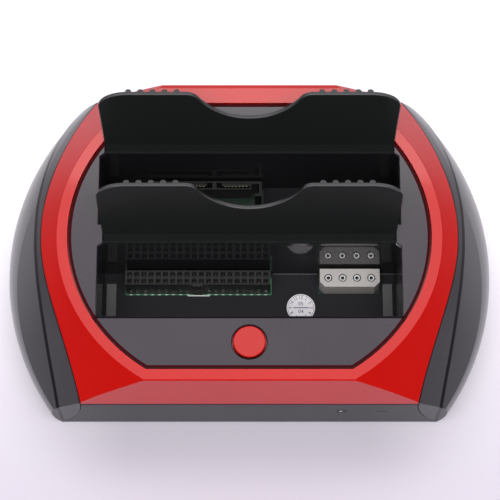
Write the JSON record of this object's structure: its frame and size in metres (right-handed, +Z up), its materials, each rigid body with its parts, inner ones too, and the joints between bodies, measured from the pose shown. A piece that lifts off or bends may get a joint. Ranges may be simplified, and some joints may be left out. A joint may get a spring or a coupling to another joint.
{
  "type": "hard drive docking station",
  "caption": "Rounded desk docking station with upright drive slots, hinged slot covers, drive sockets, a push button and a sloping front face.",
  "frame": {"origin": "on the table, under the middle of the body's outline", "axes": "+X to the right seen from the front, +Y to the rear ports, +Z up; the front text face looks to -Y"},
  "size_m": [0.172, 0.11, 0.0721],
  "materials": {
    "black_plastic": "fine moulded texture",
    "foot_rubber": "soft matt rubber",
    "red_gloss": "bright red high-gloss moulding",
    "black_gloss": "piano black gloss",
    "panel_gloss": "piano black gloss deck",
    "strip_black": "satin black",
    "well_black": "satin black moulding",
    "pad_grey": "grey foam rubber",
    "seal_paper": "white label paper",
    "cover_gloss": "piano black gloss",
    "red_button": "bright red gloss",
    "switch_black": "fine matt",
    "switch_metal": "plated steel",
    "board_green": "green solder mask",
    "screw_steel": "zinc-plated steel",
    "socket_black": "moulded socket plastic",
    "socket_ivory": "ivory grey nylon",
    "contact_tin": "bright tin",
    "contact_gold": "gold plating",
    "jack_black": "moulded black",
    "port_steel": "nickel-plated shell",
    "chip_black": "moulded package",
    "capacitor_black": "sleeved can",
    "lens_clear": "clear acrylic",
    "led_body": "water-clear package"
  },
  "bodies": {
    "housing": {"base_tray": "black_plastic", "board_capacitors": "capacitor_black", "board_screws": "screw_steel", "bridge_chip": "chip_black", "button_board": "board_green", "button_board_screws": "screw_steel", "button_switch": "switch_metal", "case_screws": "screw_steel", "clock_crystal": "port_steel", "controller_chip": "chip_black", "date_seal": "seal_paper", "dc_jack": "jack_black", "drive_rest_pads": "pad_grey", "esata_socket": "port_steel", "front_drive_well": "well_black", "front_strip": "strip_black", "ide_socket": "socket_black", "left_side_panel": "black_gloss", "main_board": "board_green", "power_contacts": "contact_tin", "power_socket": "socket_ivory", "power_switch_blades": "contact_tin", "power_switch_frame": "switch_black", "rear_drive_well": "well_black", "rear_panel": "black_plastic", "red_ring_shell": "red_gloss", "right_side_panel": "black_gloss", "rubber_feet": "foot_rubber", "sata_contacts": "contact_gold", "sata_socket": "socket_black", "status_led": "led_body", "status_lens": "lens_clear", "top_panel": "panel_gloss", "usb_socket": "port_steel"},
    "front_cover": {"front_slot_cover": "cover_gloss"},
    "rear_cover": {"rear_slot_cover": "cover_gloss"},
    "button": {"backup_button": "red_button", "switch_plunger": "switch_black"},
    "rocker": {"power_rocker": "switch_black"}
  },
  "joints": [
    {"name": "front_cover_hinge", "type": "hinge", "parent": "housing", "child": "front_cover", "pos_m": [0, -0.0026, 0.0486], "axis": [1, 0, 0], "range_deg": [0, 117]},
    {"name": "rear_cover_hinge", "type": "hinge", "parent": "housing", "child": "rear_cover", "pos_m": [0, 0.0301, 0.0486], "axis": [1, 0, 0], "range_deg": [0, 117]},
    {"name": "button_press", "type": "slide", "parent": "housing", "child": "button", "axis": [0, 0, -1], "range_m": [0, 0.0008], "stiffness_N_per_m": 600, "springref_m": -0.0006},
    {"name": "rocker_throw", "type": "hinge", "parent": "housing", "child": "rocker", "pos_m": [-0.016, 0.0502, 0.0245], "axis": [1, 0, 0], "range_deg": [0, 16]}
  ]
}
